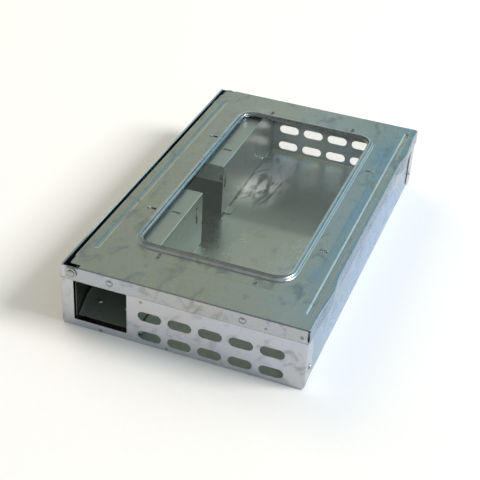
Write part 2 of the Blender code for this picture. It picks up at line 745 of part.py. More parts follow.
def pane_tab(sheet, frame):
    """A tongue with a raised knuckle at its root, which slopes down to hold the pane's edge."""
    under_pane = PANE_TOP - PANE_THICKNESS - GAP - LID_TOP
    level = PANE_INSET - GAP - GAP
    drops = (
        (TAB_ROOT, POCKET_STEP),
        (TAB_ROOT + 0.35 * MM, POCKET_STEP + KNUCKLE * 0.7),
        (TAB_ROOT + 0.8 * MM, POCKET_STEP + KNUCKLE),
        (TAB_ROOT + 1.3 * MM, POCKET_STEP + KNUCKLE * 0.5),
        (TAB_ROOT + 1.8 * MM, POCKET_STEP),
        (TAB_ROOT + 2.4 * MM, POCKET_STEP / 2),
        (level - 0.3 * MM, under_pane + 0.2 * MM),
        (level, under_pane),
        (TAB_TIP, under_pane),
    )
    lines = []
    for distance, height in drops:
        points = [frame(u, distance) for u in (-TAB_HALF, TAB_HALF)]
        lines.append([(x, y, LID_TOP + height) for x, y in points])
    sheet.strip(lines)


def pane_tab_slot(frame):
    """The slot round a tongue, with the tongue's root as two of its points."""
    near = [(u, TAB_ROOT) for u in (-TAB_SLOT_HALF, -TAB_HALF, TAB_HALF, TAB_SLOT_HALF)]
    return [frame(*point) for point in (*near, (TAB_SLOT_HALF, TAB_SLOT_END), (-TAB_SLOT_HALF, TAB_SLOT_END))]


def lid_window(sheet):
    """The step up to the raised field, the field with its tabs, and the lip round the opening."""
    outside = ring_round(POCKET, POCKET_CORNER, 0)
    inner = ring_round(POCKET, POCKET_CORNER, -POCKET_RAMP)
    height = LID_TOP + POCKET_STEP
    sheet.band([[(x, y, LID_TOP) for x, y in outside], [(x, y, height) for x, y in inner]])
    lip = lip_rings()
    rings = [(ring_round(WINDOW, WINDOW_CORNER, offset), rise) for offset, rise in lip]
    sheet.band([[(x, y, LID_TOP + rise) for x, y in points] for points, rise in rings])
    frames = pane_tab_frames()
    holes = [rings[0][0], *[pane_tab_slot(frame) for frame in frames]]
    sheet.flat(inner, holes, lambda x, y: (x, y, height))
    for frame in frames:
        pane_tab(sheet, frame)
    return outside


def bead_ring(bead, half):
    x, front, rear, _ = bead
    trim = BEAD_HALF - half
    return stadium((x, (front + rear) / 2), 2 * half, rear - front - 2 * trim)


def lid_bead(sheet, bead):
    """A long flat-bottomed groove pressed down into the lid."""
    depth = bead[3]
    section = ((1.0, 0), (0.85, 0.12), (0.45, 0.88), (0.3, 1.0))
    loops = []
    for fraction, share in section:
        outline = bead_ring(bead, BEAD_HALF * fraction)
        loops.append([(x, y, LID_TOP - depth * share) for x, y in outline])
    sheet.band(loops)
    inner = bead_ring(bead, BEAD_HALF * section[-1][0])
    sheet.flat(inner, [], lambda x, y: (x, y, LID_TOP - depth))
    return bead_ring(bead, BEAD_HALF)


def dimple(sheet, centre, place):
    """A round boss pressed out; place turns (x, z, height out) into a point."""
    section = ((1.0, 0), (0.75, 0.5), (0.4, 0.9), (0.15, 1.0))
    loops = []
    for fraction, height in section:
        points = circle(centre, DIMPLE_RADIUS * fraction, 14)
        loops.append([place(x, z, DIMPLE_HEIGHT * height) for x, z in points])
    sheet.band(loops)
    sheet.face(loops[-1])
    return circle(centre, DIMPLE_RADIUS, 14)


def lid_end_flange(sheet, rear):
    """The flange over an end panel, and its ear that carries the hinge rivet."""
    right = LID_RIGHT - LID_BEND - EDGE_RELIEF
    top, bottom = LID_TOP - LID_BEND, LID_TOP - FLANGE_DEPTH
    section = fold((LID_BEND, top), LID_BEND, 90, 180)
    sheet.strip([[(x, from_end(rear, y), z) for x in (NOTCH_LENGTH, right)] for y, z in section])

    def place(x, z, out=0):
        return (x, from_end(rear, -out), z)

    outline = [
        (EAR_LEFT, bottom),
        (right - FLANGE_CORNER, bottom),
        (right, bottom + FLANGE_CORNER_RISE),
        (right, top),
        (NOTCH_LENGTH, top),
        (EAR_LEFT + EAR_CORNER, top),
        (EAR_LEFT, top - EAR_CORNER),
    ]
    holes = [circle((HINGE_X, HINGE_Z), HINGE_SHANK + RUNNING)]
    holes += [dimple(sheet, centre, place) for centre in DIMPLES]
    sheet.flat(outline, holes, place)


def lid_right_flange(sheet):
    """The flange over the right wall, which follows the finger grips."""
    top, bottom = LID_TOP - LID_BEND, LID_TOP - FLANGE_DEPTH
    section = fold((LID_RIGHT - LID_BEND, top), LID_BEND, 90, 0) + [(LID_RIGHT, bottom)]
    stations = right_edge_stations()
    sheet.strip([[(x + bulge(y), y, z) for y in stations] for x, z in section])


def lid_left_flange(sheet):
    """The short stiffening fold beside the hinge side's wall."""
    top = LID_TOP - LID_BEND
    section = fold((LID_LEFT + LID_BEND, top), LID_BEND, 90, 180) + [(LID_LEFT, LID_TOP - LEFT_FLANGE_DEPTH)]
    ends = (NOTCH_LENGTH, LENGTH - NOTCH_LENGTH)
    sheet.strip([[(x, y, z) for y in ends] for x, z in section])


def lid():
    sheet = Sheet()
    holes = [lid_window(sheet), *[lid_bead(sheet, bead) for bead in BEADS]]
    sheet.flat(lid_outline(), holes, lambda x, y: (x, y, LID_TOP))
    for rear in (False, True):
        lid_end_flange(sheet, rear)
    lid_right_flange(sheet)
    lid_left_flange(sheet)
    return sheet.build("lid", (STEEL, 0.35), (0, 0, 1), (HINGE_X, MIDDLE, HINGE_Z))


def window_pane():
    """The clear sheet that the lid's tabs hold up against its underside."""
    left, right, front, rear = POCKET
    outline = rounded_rectangle(
        left + PANE_INSET, right - PANE_INSET, front + PANE_INSET, rear - PANE_INSET, PANE_CORNER, 4
    )
    mesh = bmesh.new()
    for height in (PANE_TOP, PANE_TOP - PANE_THICKNESS):
        mesh.faces.new([mesh.verts.new((x, y, height)) for x, y in outline])
    upper, lower = (list(face.verts) for face in mesh.faces)
    for a, b, c, d in zip(upper, upper[1:] + upper[:1], lower[1:] + lower[:1], lower):
        mesh.faces.new((a, b, c, d))
    bmesh.ops.recalc_face_normals(mesh, faces=mesh.faces)
    return add_object("window_pane", mesh, (CLEAR, 0.05, 0.0, 0.2), (HINGE_X, MIDDLE, HINGE_Z))


def lid_hinges():
    """A rivet and washer at each end, on the axis that the lid swings about."""
    for end_name, rear in (("front", False), ("rear", True)):
        out = 1 if rear else -1
        face = from_end(rear, 0)

        def place(u, v, height, out=out, face=face):
            return (HINGE_X + u, face + out * height, HINGE_Z + v)

        finish = (BRIGHT_STEEL, 0.35)
        inner = HINGE_SHANK + GAP
        ring(f"{end_name}_hinge_washer", finish, inner, WASHER_RADIUS, GAP, GAP + SHEET, place)

        def seat(u, v, height, place=place):
            return place(u, v, 2 * GAP + SHEET + height)

        grip = 2 * GAP + SHEET + 2 * LAYER
        name = f"{end_name}_hinge_rivet"
        rivet(name, finish, HINGE_SHANK, HINGE_HEAD, HINGE_TAIL, grip, seat, 16)


def main():
    for existing in list(bpy.data.objects):
        bpy.data.objects.remove(existing)
    base_tray()
    end_panel("front_panel", False)
    end_panel("rear_panel", True)
    corner_rivets()
    tunnel("front_tunnel", False, FRONT_TUNNEL_END)
    tunnel("rear_tunnel", True, REAR_TUNNEL_END)
    for end_name, rear in (("front", False), ("rear", True)):
        ramp_assembly(end_name, rear)
        axle(end_name, rear)
    hinge = bpy.data.objects.new("lid_hinge", None)
    hinge.location = Vector((HINGE_X, MIDDLE, HINGE_Z)) - ORIGIN
    bpy.context.scene.collection.objects.link(hinge)
    for piece in (lid(), window_pane()):
        piece.parent = hinge
        piece.location -= hinge.location
    lid_hinges()


main()
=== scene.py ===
"""Looks for the low live-catch mouse trap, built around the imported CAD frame.

Every piece of the trap is folded sheet, turned hardware or a clear pane, so the CAD shapes stay
and this script gives them their surfaces, then sets the studio round them. Lengths are in metres.
"""

import math

import bpy
from mathutils import Matrix, Vector

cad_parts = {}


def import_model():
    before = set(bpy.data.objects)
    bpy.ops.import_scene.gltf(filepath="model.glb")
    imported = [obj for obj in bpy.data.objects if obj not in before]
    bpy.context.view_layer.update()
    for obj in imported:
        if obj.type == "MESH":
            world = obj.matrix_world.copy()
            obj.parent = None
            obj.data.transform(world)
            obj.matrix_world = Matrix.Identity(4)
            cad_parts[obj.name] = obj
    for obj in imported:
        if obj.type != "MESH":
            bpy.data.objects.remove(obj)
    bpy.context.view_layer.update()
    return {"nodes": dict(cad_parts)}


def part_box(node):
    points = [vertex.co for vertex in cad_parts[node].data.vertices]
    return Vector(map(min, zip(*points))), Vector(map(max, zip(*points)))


MM = 0.001

# ---------------------------------------------------------------- studio and camera
CAMERA_AZIMUTH = 18.87  # degrees to the right of the front
CAMERA_ELEVATION = 33.86
CAMERA_ROLL = 3.46
CAMERA_DISTANCE = 0.78
CAMERA_LENS = 83.0
CAMERA_SENSOR = 36.0
CAMERA_AIM = Vector((-0.0110, -0.0009, 0.0008))
KEY = {
    "azimuth": 98,
    "elevation": 38,
    "distance": 4.0,
    "size": 1.6,
    "power": 160,
    "colour": (1.0, 0.97, 0.95),
}
FILL = {
    "azimuth": -120,
    "elevation": 36,
    "distance": 3.0,
    "size": 2.4,
    "power": 42,
    "colour": (1.0, 0.78, 0.53),
}
FLOOR_RADIUS = 14.0
FLOOR_SIDES = 96
FLOOR_GAP = 0.05 * MM  # between the floor and the tray that stands on it

# The room round the object: (degrees clockwise from the rear, colour), low down and higher up
SKY_LOW = (
    (-180, (0.50, 0.49, 0.53)),
    (-90, (0.60, 0.58, 0.48)),
    (-50, (0.74, 0.88, 0.92)),
    (-10, (0.66, 0.78, 0.80)),
    (20, (0.72, 0.98, 1.08)),
    (90, (0.80, 0.98, 1.10)),
    (180, (0.50, 0.49, 0.53)),
)
SKY_HIGH = (
    (-180, (0.50, 0.54, 0.53)),
    (-90, (0.36, 0.36, 0.30)),
    (-30, (0.42, 0.44, 0.35)),
    (-19, (0.42, 0.47, 0.42)),
    (-14, (0.54, 0.61, 0.56)),
    (-8, (0.14, 0.42, 0.66)),
    (8, (0.22, 0.36, 0.46)),
    (25, (0.56, 0.82, 0.92)),
    (44, (1.05, 1.22, 1.26)),
    (75, (0.62, 0.78, 0.84)),
    (180, (0.50, 0.54, 0.53)),
)
SKY_TOP = (0.20, 0.22, 0.20)
# Sines of the elevations between which one ring becomes the next
SKY_TURNS_HIGH = (0.22, 0.38)
SKY_TURNS_TOP = (0.66, 0.90)

# ---------------------------------------------------------------- colours
SHEET_COLOUR = (0.50, 0.53, 0.52)
TRAY_COLOUR = (0.76, 0.78, 0.72)
END_PANEL_COLOUR = (0.49, 0.52, 0.60)
TUNNEL_COLOUR = (0.60, 0.66, 0.63)
FRONT_RAMP_COLOUR = (0.40, 0.45, 0.44)
# painted shade: the rear ramp's sheet is darker than the front ramp's
REAR_RAMP_PAINTED_SHADE_COLOUR = (0.20, 0.23, 0.22)
BRIGHT_ZINC = (0.62, 0.63, 0.64)
WORN_ZINC = (0.42, 0.41, 0.40)
BAR_COLOUR = (0.30, 0.30, 0.30)
BAR_DARK, BAR_LIGHT = (0.20, 0.20, 0.205, 1.0), (0.42, 0.41, 0.40, 1.0)
PANE_COLOUR = (0.50, 0.56, 0.57)
FLOOR_COLOUR = (0.86, 0.86, 0.86)
FLOOR_DARK, FLOOR_LIGHT = (0.84, 0.84, 0.85, 1.0), (0.87, 0.87, 0.88, 1.0)
# painted shadow: the dark band that the lid's flange casts on an end panel
FLANGE_PAINTED_SHADOW = (0.10, 0.10, 0.11, 1.0)
# colour of the dark spots at the listed places
DARK_SPOT_COLOUR = (0.08, 0.08, 0.09, 1.0)
# painted shade: the dark ring round each dimple
DIMPLE_PAINTED_SHADE = (0.05, 0.05, 0.09, 1.0)
# painted highlight: the near-white colour on the creases along the rear tunnel's foot
PAINTED_HIGHLIGHT_COLOUR = (0.94, 0.95, 0.95, 1.0)
PAINTED_BLUE_REFLECTION = (0.37, 0.50, 0.75, 1.0)  # painted reflection: a blue cast multiplied into the faces that look to the right
# painted shade: a cool darkening of the lid's faces that look to the front or rear
FLANGE_PAINTED_SHADE = (0.78, 0.79, 0.90, 1.0)
# painted shade: the darkening of the tunnels' side walls
TUNNEL_SIDE_PAINTED_SHADE = (0.62, 0.62, 0.64, 1.0)
# painted shade on the inner face of the tray's left wall
TRAY_WALL_PAINTED_SHADE = (0.10, 0.12, 0.11, 1.0)
# painted shade on the floor's rear part
TRAY_REAR_PAINTED_SHADE = (0.26, 0.30, 0.29, 1.0)
# painted shade on the floor's front strip
TRAY_FRONT_PAINTED_SHADE = (0.20, 0.21, 0.18, 1.0)
PANE_ALPHA = 0.11

# ---------------------------------------------------------------- where the marks, painted shade and painted highlights are
FLANGE_SHADOW_DROP = 0.5 * MM  # middle of the painted shadow, below the edge of the lid's flanges
# how far the painted shadow under the flange reaches
FLANGE_SHADOW_REACH = 0.9 * MM
# Across from the middle, up from the floor and, for a spot, its radius, in mm
PANEL_SPOTS = ((-26.5, 31.7, 1.6), (-9.2, 1.6, 1.5), (-53.7, 1.0, 2.2))
FLANGE_SPOTS = ((53.2, 38.3, 1.3), (75.2, 38.9, 1.8))
LID_DIMPLES = ((-46.8, 40.0), (38.7, 39.6))
SPOT_CORE = 0.3  # share of a spot's radius that is fully dark
# radius and reach of the painted shade ring round each dimple
DIMPLE_RING = 2.1 * MM
DIMPLE_RING_REACH = 0.7 * MM
TRAY_WALL_REACH = 0.7 * MM  # painted shade's reach in from the tray's left side
# Pairs are the places where a mark starts and where it is full.
TRAY_REAR = (-2.85 * MM, 7.15 * MM)  # painted shade on the floor's rear part, from the rear tunnel's inner end
TRAY_FRONT = (43.75 * MM, 25.75 * MM)  # painted shade on the floor's front strip, from the tray's front
# The creases carry painted highlights; their ends are from the rear tunnel's inner end, and their
# sides from its right wall.
CREASE_FRONT, CREASE_REAR = (11.55 * MM, 43.55 * MM), (110.55 * MM, 97.55 * MM)
CREASE_LEFT, CREASE_RIGHT = (-10.7 * MM, -3.7 * MM), (31.3 * MM, 13.3 * MM)
CREASE_HEIGHT = 1.6 * MM

# ---------------------------------------------------------------- patterns
# Noise: cells per metre, detail, roughness and distortion
CLOUD = (19, 4.0, 0.6, 0.4)
BLOTCH = (95, 3.0, 0.55, 0.8)
ROLLING = (420, 2.0, 0.5, 0.0)
SCUFF = (210, 4.0, 0.7, 1.5)
FLECK = (480, 2.0, 0.6, 0.5)
SWELL = (17, 1.0, 0.4, 0.3)
CRUMPLE = (62, 3.0, 0.55, 1.4)
RAGGED = (260, 3.0, 0.6, 0.0)
ZINC_GRAIN = (900, 3.0, 0.6, 0.0)
ZINC_PATCH = (220, 2.0, 0.5, 0.0)
MILL_SCALE = (160, 5.0, 0.65, 0.6)
BAR_GRAIN = (1200, 2.0, 0.5, 0.0)
HAZE = (60, 4.0, 0.6, 0.5)
PANE_WAVE = (9, 1.0, 0.4, 0.0)
PAPER = (300, 2.0, 0.5, 0.0)
# Noise values at which a mark starts and is full: stains, haze, the break in the painted flange
# shadow and the painted highlights on the creases
CLOUD_EDGE = (0.32, 0.70)
BLOTCH_EDGE = (0.52, 0.74)
SCUFF_EDGE = (0.60, 0.72)
FLECK_EDGE = (0.68, 0.76)
CRUMPLE_EDGE = (0.36, 0.54)
RAGGED_EDGE = (0.30, 0.62)
HAZE_EDGE = (0.50, 0.80)
CRYSTALS = 300  # cells per metre
CRYSTAL_STRETCH = (1.0, 0.8, 1.0)
CLOUD_STRETCH = (1.0, 0.6, 1.0)
ROLL_STRETCH = (1.0, 0.06, 1.0)
CRUMPLE_STRETCH = (1.0, 0.45, 1.0)
SEED_SHIFT = (1.7, 0.9, 0.4)
CRYSTAL_DEPTH = 0.001 * MM
ROLLING_DEPTH = 0.003 * MM
GRAIN_DEPTH = 0.004 * MM
SCALE_DEPTH = 0.01 * MM
PANE_WAVE_DEPTH = 0.05 * MM

# ---------------------------------------------------------------- shading
SMOOTH_ANGLE = math.radians(38)
WELD = 0.002 * MM
FLAT_WEIGHT = 50  # how far big faces outweigh small ones in a vertex's normal
# Parts of a face's normal at which it starts to count as looking that way and fully counts
LOOKS_RIGHT = (0.65, 0.95)
LOOKS_UP = (0.25, 0.85)
LOOKS_TO_END = 0.3


class Shader:
    """A Principled material whose nodes are added one call at a time."""

    def __init__(self, name, colour, roughness, metallic=1.0):
        self.material = bpy.data.materials.new(name)
        self.material.use_nodes = True
        self.tree = self.material.node_tree
        self.surface = self.tree.nodes["Principled BSDF"]
        self.set("Base Color", (*colour, 1.0))
        self.set("Roughness", roughness)
        self.set("Metallic", metallic)
        self.roughness = roughness
        self.place = self.node("ShaderNodeTexCoord").outputs["Object"]

    def set(self, socket, value):
        self.surface.inputs[socket].default_value = value

    def node(self, kind, inputs=None, **settings):
        made = self.tree.nodes.new(kind)
        for key, value in settings.items():
            setattr(made, key, value)
        for key, value in (inputs or {}).items():
            self.feed(made.inputs[key], value)
        return made

    def feed(self, socket, value):
        if isinstance(value, bpy.types.NodeSocket):
            self.tree.links.new(value, socket)
        else:
            socket.default_value = value

    def math(self, operation, *values):
        made = self.node("ShaderNodeMath", operation=operation)
        for socket, value in zip(made.inputs, values):
            self.feed(socket, value)
        return made.outputs[0]

    def stretched(self, factors, offset=(0.0, 0.0, 0.0)):
        """Object coordinates, scaled on each axis and moved."""
        inputs = {"Vector": self.place, "Scale": factors, "Location": offset}
        return self.node("ShaderNodeMapping", inputs).outputs[0]

    def noise(self, scale, detail, roughness, distortion, vector=None):
        inputs = {
            "Vector": vector or self.place,
            "Scale": scale,
            "Detail": detail,
            "Roughness": roughness,
            "Distortion": distortion,
        }
        return self.node("ShaderNodeTexNoise", inputs).outputs["Fac"]

    def cells(self, scale, vector=None):
        """A random value for each cell of a crystal pattern."""
        inputs = {"Vector": vector or self.place, "Scale": scale}
        colour = self.node("ShaderNodeTexVoronoi", inputs).outputs["Color"]
        return self.node("ShaderNodeSeparateColor", {"Color": colour}).outputs[0]

    def times(self, value, amount):
        return self.math("MULTIPLY", value, amount)

    def about(self, value, amount):
        """A 0 to 1 value, centred on 0 and scaled."""
        return self.times(self.math("SUBTRACT", value, 0.5), amount)

    def between(self, value, low, high):
        """0 at low, 1 at high, smooth between and level beyond. Low may be the larger one."""
        inputs = {"Value": value, "From Min": low, "From Max": high}
        settings = {"interpolation_type": "SMOOTHSTEP"}
        return self.node("ShaderNodeMapRange", inputs, **settings).outputs[0]

    def all_of(self, *shares):
        """The product of some shares."""
        total = shares[0]
        for share in shares[1:]:
            total = self.times(total, share)
        return total

    def sum(self, *values):
        total = values[0]
        for value in values[1:]:
            total = self.math("ADD", total, value)
        return total

    def parts(self):
        """Object X, Y and Z."""
        return self.node("ShaderNodeSeparateXYZ", {"Vector": self.place}).outputs

    def normal_parts(self):
        """The object-space normal's X, Y and Z."""
        normal = self.node("ShaderNodeTexCoord").outputs["Normal"]
        return self.node("ShaderNodeSeparateXYZ", {"Vector": normal}).outputs

    def facing_right(self):
        """1 on upright faces that look to the right."""
        return self.between(self.normal_parts()[0], *LOOKS_RIGHT)

    def facing_up(self):
        return self.between(self.normal_parts()[2], *LOOKS_UP)

    def facing_end(self):
        """1 on faces that look to the front or rear."""
        along = self.math("ABSOLUTE", self.normal_parts()[1])
        return self.math("GREATER_THAN", along, LOOKS_TO_END)

    def near_height(self, height, reach):
        """1 at a height and 0 from reach away."""
        distance = self.math("ABSOLUTE", self.math("SUBTRACT", self.parts()[2], height))
        return self.between(distance, reach, 0.0)

    def from_centre(self, centre):
        """Distance in the X-Z plane from a centre."""
        x, _, z = self.parts()
        across = self.math("SUBTRACT", x, centre[0])
        up = self.math("SUBTRACT", z, centre[1])
        squares = self.math("POWER", across, 2.0), self.math("POWER", up, 2.0)
        return self.math("SQRT", self.math("ADD", *squares))

    def spot(self, centre, radius):
        """1 at a centre in the X-Z plane and 0 from the radius."""
        return self.between(self.from_centre(centre), radius, radius * SPOT_CORE)

    def ring(self, centre, radius, reach):
        """1 on a circle in the X-Z plane and 0 from reach away."""
        distance = self.math("ABSOLUTE", self.math("SUBTRACT", self.from_centre(centre), radius))
        return self.between(distance, reach, 0.0)

    def mix(self, share, first, second, blend="MIX"):
        made = self.node("ShaderNodeMix", data_type="RGBA", blend_type=blend)
        self.feed(made.inputs["Factor"], share)
        self.feed(made.inputs["A"], first)
        self.feed(made.inputs["B"], second)
        return made.outputs["Result"]

    def bump(self, heights):
        """Bump nodes in a row, one for each (height, distance)."""
        normal = None
        for height, distance in heights:
            inputs = {"Height": height, "Distance": distance, "Strength": 1.0}
            if normal:
                inputs["Normal"] = normal
            normal = self.node("ShaderNodeBump", inputs).outputs[0]
        self.feed(self.surface.inputs["Normal"], normal)

    def assemble(self, colour, roughness, bumps):
        """Joins the finished colour, roughness and bumps to the surface."""
        if colour is not None:
            self.feed(self.surface.inputs["Base Color"], colour)
        self.feed(self.surface.inputs["Roughness"], roughness)
        self.bump(bumps)
        return self.material


def tinted(shader, share, colour, tint):
    """The colour multiplied by a tint where the share is 1."""
    return shader.mix(share, colour, shader.mix(1.0, colour, tint, "MULTIPLY"))


def mix_stain_and_painted_shade(shader, share, most, colour, stain_and_shade):
    """The colour mixed with another colour, at most by most: used for stains and for painted shade.
    """
    return shader.mix(shader.times(share, most), colour, stain_and_shade)


def places_from(edge, pair):
    """Where a mark starts and is full, from an edge of the frame."""
    return [edge + place for place in pair]


def galvanised(name, seed, roughness, tint, wave=0.5, marks=1.0, metallic=1.0, extra=None):
    """Zinc-coated sheet: faint crystals, cloudy stains, rolling lines, scuffs and slight waves.

    extra may change the colour and roughness, and add bumps, for one piece.
    """
    shader = Shader(name, tint, roughness, metallic)
    shift = tuple(seed * step for step in SEED_SHIFT)
    cloud_place = shader.stretched(CLOUD_STRETCH, shift)
    roll_place = shader.stretched(ROLL_STRETCH, shift)
    crystal = shader.cells(CRYSTALS, shader.stretched(CRYSTAL_STRETCH, shift))
    cloud = shader.noise(*CLOUD, cloud_place)
    blotch = shader.between(shader.noise(*BLOTCH, cloud_place), *BLOTCH_EDGE)
    scuff = shader.between(shader.noise(*SCUFF, roll_place), *SCUFF_EDGE)
    fleck = shader.between(shader.noise(*FLECK, cloud_place), *FLECK_EDGE)
    dark = (*(0.62 * c for c in tint), 1.0)
    warm = (tint[0] * 1.06, tint[1] * 0.99, tint[2] * 0.84, 1.0)
    light = (*(min(1.0, 1.25 * c) for c in tint), 1.0)
    colour = shader.mix(shader.between(cloud, *CLOUD_EDGE), (*tint, 1.0), warm)
    stains = ((crystal, 0.09, light), (blotch, 0.42, dark), (scuff, 0.20, light), (fleck, 0.34, dark))
    for share, most, tone in stains:
        colour = mix_stain_and_painted_shade(shader, share, most * marks, colour, tone)
    rough = shader.sum(
        roughness,
        shader.about(crystal, 0.05 * marks),
        shader.about(cloud, 0.16 * marks),
        shader.times(scuff, 0.10 * marks),
        shader.times(blotch, 0.10 * marks),
    )
    bumps = [
        (shader.noise(*SWELL, cloud_place), wave * MM),
        (crystal, CRYSTAL_DEPTH * marks),
        (shader.noise(*ROLLING, roll_place), ROLLING_DEPTH),
    ]
    if extra:
        colour, rough, more = extra(shader, colour, rough)
        bumps += more
    return shader.assemble(colour, rough, bumps)


def panel_painted_shadow_and_spots(shader, colour, rough):
    """A painted shadow under the lid's flange, broken up by noise, and dark spots on an end panel."""
    flange_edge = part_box("lid")[0].z
    # painted shadow: a dark band just under the edge of the lid's flange
    flange_shadow = shader.near_height(flange_edge - FLANGE_SHADOW_DROP, FLANGE_SHADOW_REACH)
    ragged = shader.between(shader.noise(*RAGGED), *RAGGED_EDGE)
    share = shader.times(flange_shadow, shader.sum(0.45, shader.times(ragged, 0.4)))
    colour = shader.mix(share, colour, FLANGE_PAINTED_SHADOW)
    for x, z, radius in PANEL_SPOTS:
        colour = mix_stain_and_painted_shade(shader, shader.spot((x * MM, z * MM), radius * MM), 0.6, colour, DARK_SPOT_COLOUR)
    return colour, rough, []


def lid_painted_light_and_spots(shader, colour, rough):
    """Painted shade in rings round the dimples and on faces that look to the front or rear, dark
    spots on the flanges, and a painted blue reflection on faces that look to the right.
    """
    flange = shader.facing_end()
    # painted shade: a dark ring round each dimple on the flanges
    for x, z in LID_DIMPLES:
        ring = shader.ring((x * MM, z * MM), DIMPLE_RING, DIMPLE_RING_REACH)
        colour = mix_stain_and_painted_shade(shader, shader.times(ring, flange), 0.5, colour, DIMPLE_PAINTED_SHADE)
    for x, z, radius in FLANGE_SPOTS:
        spot = shader.spot((x * MM, z * MM), radius * MM)
        colour = mix_stain_and_painted_shade(shader, shader.times(spot, flange), 0.6, colour, DARK_SPOT_COLOUR)
    # painted shade: the faces that look to the front or rear are darkened
    colour = tinted(shader, flange, colour, FLANGE_PAINTED_SHADE)
    # painted reflection: faces that look to the right turn blue
    return tinted(shader, shader.facing_right(), colour, PAINTED_BLUE_REFLECTION), rough, []


def tunnel_painted_side_shade(shader, colour, rough):
    """Painted shade: side walls that look to the right are darker than the roof."""
    # painted shade on the side walls that look to the right
    return tinted(shader, shader.facing_right(), colour, TUNNEL_SIDE_PAINTED_SHADE), rough, []


def tray_painted_light_and_creases(shader, colour, rough):
    """Painted shade on the left wall's inner face and the ends of the floor, painted highlights on
    creases along the rear tunnel's foot, and a painted blue reflection on faces that look to the
    right.
    """
    tray_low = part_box("base_tray")[0]
    tunnel_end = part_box("rear_tunnel")[0].y
    tunnel_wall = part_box("rear_tunnel")[1].x
    x, y, _ = shader.parts()
    right, up = shader.facing_right(), shader.facing_up()
    wall = shader.times(shader.math("LESS_THAN", x, tray_low.x + TRAY_WALL_REACH), right)
    rear = shader.times(shader.between(y, *places_from(tunnel_end, TRAY_REAR)), up)
    front = shader.times(shader.between(y, *places_from(tray_low.y, TRAY_FRONT)), up)
    # painted shade: the left wall's inner face is darkened
    colour = mix_stain_and_painted_shade(shader, wall, 0.75, colour, TRAY_WALL_PAINTED_SHADE)
    # painted shade: the floor beyond the rear tunnel's inner end is darkened
    colour = mix_stain_and_painted_shade(shader, rear, 0.42, colour, TRAY_REAR_PAINTED_SHADE)
    # painted shade: the floor's front strip is darkened
    colour = mix_stain_and_painted_shade(shader, front, 0.85, colour, TRAY_FRONT_PAINTED_SHADE)
    strip = shader.all_of(
        shader.between(y, *places_from(tunnel_end, CREASE_FRONT)),
        shader.between(y, *places_from(tunnel_end, CREASE_REAR)),
        shader.between(x, *places_from(tunnel_wall, CREASE_LEFT)),
        shader.between(x, *places_from(tunnel_wall, CREASE_RIGHT)),
    )
    crumple = shader.noise(*CRUMPLE, shader.stretched(CRUMPLE_STRETCH))
    # painted highlight: the crests of the crumple noise turn near white, and rougher
    painted_highlight = shader.times(strip, shader.between(crumple, *CRUMPLE_EDGE))
    # painted reflection: faces that look to the right turn blue, over the painted highlights
    colour = tinted(shader, right, shader.mix(painted_highlight, colour, PAINTED_HIGHLIGHT_COLOUR), PAINTED_BLUE_REFLECTION)
    rough = shader.sum(rough, shader.times(painted_highlight, 0.26), shader.times(rear, 0.06))
    return colour, rough, [(shader.times(strip, crumple), CREASE_HEIGHT)]


def zinc(name, tint, roughness):
    """Zinc-plated turned hardware."""
    shader = Shader(name, tint, roughness)
    grain, patch = shader.noise(*ZINC_GRAIN), shader.noise(*ZINC_PATCH)
    dark, light = (*(0.88 * c for c in tint), 1.0), (*(1.1 * c for c in tint), 1.0)
    rough = shader.sum(roughness, shader.about(grain, 0.14), shader.about(patch, 0.10))
    return shader.assemble(shader.mix(patch, dark, light), rough, [(grain, GRAIN_DEPTH)])


def dull_steel(name):
    """Plain rolled bar with mill scale."""
    shader = Shader(name, BAR_COLOUR, 0.45)
    scale, grain = shader.noise(*MILL_SCALE), shader.noise(*BAR_GRAIN)
    colour = shader.mix(scale, BAR_DARK, BAR_LIGHT)
    rough = shader.sum(shader.roughness, shader.about(scale, 0.24), shader.about(grain, 0.08))
    return shader.assemble(colour, rough, [(scale, SCALE_DEPTH), (grain, GRAIN_DEPTH)])


def clear_plastic(name):
    """The pane: a thin clear sheet that mirrors faintly, with a little handling haze."""
    shader = Shader(name, PANE_COLOUR, 0.02)
    shader.set("Alpha", PANE_ALPHA)
    haze = shader.between(shader.noise(*HAZE), *HAZE_EDGE)
    rough = shader.sum(shader.roughness, shader.times(haze, 0.05))
    return shader.assemble(None, rough, [(shader.noise(*PANE_WAVE), PANE_WAVE_DEPTH)])


def smooth(node):
    """Rounds the shading of folds and turned faces, and keeps real corners crisp."""
    node.data.polygons.foreach_set("use_smooth", [True] * len(node.data.polygons))
    weld = node.modifiers.new("weld", "WELD")
    weld.merge_threshold = WELD
    split = node.modifiers.new("corners", "EDGE_SPLIT")
    split.split_angle = SMOOTH_ANGLE
    level = node.modifiers.new("flats", "WEIGHTED_NORMAL")
    level.mode = "FACE_AREA"
    level.weight = FLAT_WEIGHT


def dress(node, material):
    node.data.materials.clear()
    node.data.materials.append(material)
    smooth(node)


